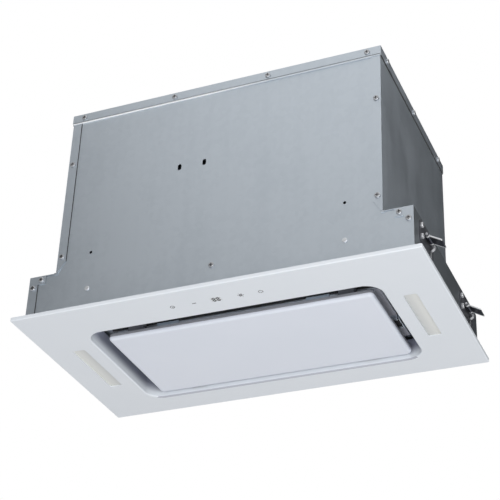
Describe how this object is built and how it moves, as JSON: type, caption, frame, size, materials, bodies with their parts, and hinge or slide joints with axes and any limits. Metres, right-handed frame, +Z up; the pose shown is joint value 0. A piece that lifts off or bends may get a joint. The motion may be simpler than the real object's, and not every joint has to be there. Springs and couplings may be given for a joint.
{
  "type": "built-in range hood",
  "caption": "Built-in range hood: galvanised stepped housing over a white fascia with a drop-down intake panel, lamp strips, touch control, filter, blower and duct collar.",
  "frame": {"origin": "middle of the fascia in plan, at the top of its rim, which seats under the cabinet's bottom", "axes": "+X to the right seen from the front, +Y to the back, +Z up into the cabinet"},
  "size_m": [0.5434, 0.293, 0.345],
  "materials": {
    "white_paint": "satin white powder coat",
    "galvanised": "galvanised sheet, satin",
    "bright_steel": "zinc plated",
    "spring_steel": "bright spring steel",
    "lens_plastic": "frosted diffuser",
    "display_black": "gloss black",
    "black_plastic": "moulded",
    "grey_plastic": "moulded",
    "circuit_board": "solder mask",
    "filter_aluminium": "satin",
    "motor_steel": "dark lacquer"
  },
  "bodies": {
    "housing": {"fascia": "white_paint", "front_panel": "galvanised", "back_panel": "galvanised", "upper_side_right": "galvanised", "upper_side_left": "galvanised", "lower_side_right": "galvanised", "lower_side_left": "galvanised", "top_cover": "galvanised", "filter_rail_front": "galvanised", "filter_rail_rear": "galvanised", "filter_rail_right": "galvanised", "filter_rail_left": "galvanised", "scroll_right": "galvanised", "scroll_left": "galvanised", "motor_bracket": "galvanised", "panel_hinge_brackets": "galvanised", "latch_guides": "galvanised", "cover_screws": "bright_steel", "plate_screws": "bright_steel", "rail_rivets": "bright_steel", "fascia_screws": "bright_steel", "outlet_screws": "bright_steel", "clip_screws": "bright_steel", "panel_hinge_pins": "bright_steel", "clip_pins": "bright_steel", "damper_rod": "bright_steel", "clip_bases": "spring_steel", "clip_springs": "spring_steel", "lamp_lens_right": "lens_plastic", "lamp_lens_left": "lens_plastic", "display_window": "display_black", "outlet_plate": "black_plastic", "catch_magnets": "black_plastic", "duct_collar": "black_plastic", "power_box": "black_plastic", "power_box_cover": "black_plastic", "cable_gland": "black_plastic", "capacitor": "black_plastic", "lamp_housing_right": "grey_plastic", "lamp_housing_left": "grey_plastic", "control_holder": "grey_plastic", "led_boards": "circuit_board", "touch_board": "circuit_board", "power_board": "circuit_board", "filter_frame": "filter_aluminium", "filter_mesh": "filter_aluminium", "motor": "motor_steel"},
    "intake_panel": {"intake_panel": "white_paint", "panel_hinge_leaves": "galvanised", "catch_strikes": "galvanised"},
    "filter_latch_right": {"filter_latch_right": "black_plastic"},
    "filter_latch_left": {"filter_latch_left": "black_plastic"},
    "fan": {"impeller": "grey_plastic", "motor_shaft": "bright_steel"},
    "damper_flap_front": {"damper_flap_front": "black_plastic"},
    "damper_flap_rear": {"damper_flap_rear": "black_plastic"},
    "clip_wing_front_right": {"clip_wing_front_right": "spring_steel"},
    "clip_wing_front_left": {"clip_wing_front_left": "spring_steel"},
    "clip_wing_rear_right": {"clip_wing_rear_right": "spring_steel"},
    "clip_wing_rear_left": {"clip_wing_rear_left": "spring_steel"}
  },
  "joints": [
    {"name": "panel_hinge", "type": "hinge", "parent": "housing", "child": "intake_panel", "pos_m": [0, 0.095, 0.0045], "axis": [1, 0, 0], "range_deg": [0, 90]},
    {"name": "latch_slide_right", "type": "slide", "parent": "housing", "child": "filter_latch_right", "axis": [-1, 0, 0], "range_m": [0, 0.006], "stiffness_N_per_m": 300, "springref_m": -0.004},
    {"name": "latch_slide_left", "type": "slide", "parent": "housing", "child": "filter_latch_left", "axis": [1, 0, 0], "range_m": [0, 0.006], "stiffness_N_per_m": 300, "springref_m": -0.004},
    {"name": "fan_spin", "type": "hinge", "parent": "housing", "child": "fan", "pos_m": [0, -0.02, 0.17], "axis": [1, 0, 0], "continuous": true},
    {"name": "damper_hinge_front", "type": "hinge", "parent": "housing", "child": "damper_flap_front", "pos_m": [0, 0.04225, 0.318], "axis": [-1, 0, 0], "range_deg": [0, 75]},
    {"name": "damper_hinge_rear", "type": "hinge", "parent": "housing", "child": "damper_flap_rear", "pos_m": [0, 0.04225, 0.318], "axis": [1, 0, 0], "range_deg": [0, 75]},
    {"name": "clip_hinge_front_right", "type": "hinge", "parent": "housing", "child": "clip_wing_front_right", "pos_m": [0.2545, -0.085, 0.043], "axis": [0, 1, 0], "range_deg": [0, 50], "stiffness_Nm_per_rad": 0.05, "springref_deg": -28.65},
    {"name": "clip_hinge_front_left", "type": "hinge", "parent": "housing", "child": "clip_wing_front_left", "pos_m": [-0.2545, -0.085, 0.043], "axis": [0, -1, 0], "range_deg": [0, 50], "stiffness_Nm_per_rad": 0.05, "springref_deg": -28.65},
    {"name": "clip_hinge_rear_right", "type": "hinge", "parent": "housing", "child": "clip_wing_rear_right", "pos_m": [0.2545, 0.086, 0.043], "axis": [0, 1, 0], "range_deg": [0, 50], "stiffness_Nm_per_rad": 0.05, "springref_deg": -28.65},
    {"name": "clip_hinge_rear_left", "type": "hinge", "parent": "housing", "child": "clip_wing_rear_left", "pos_m": [-0.2545, 0.086, 0.043], "axis": [0, -1, 0], "range_deg": [0, 50], "stiffness_Nm_per_rad": 0.05, "springref_deg": -28.65}
  ]
}
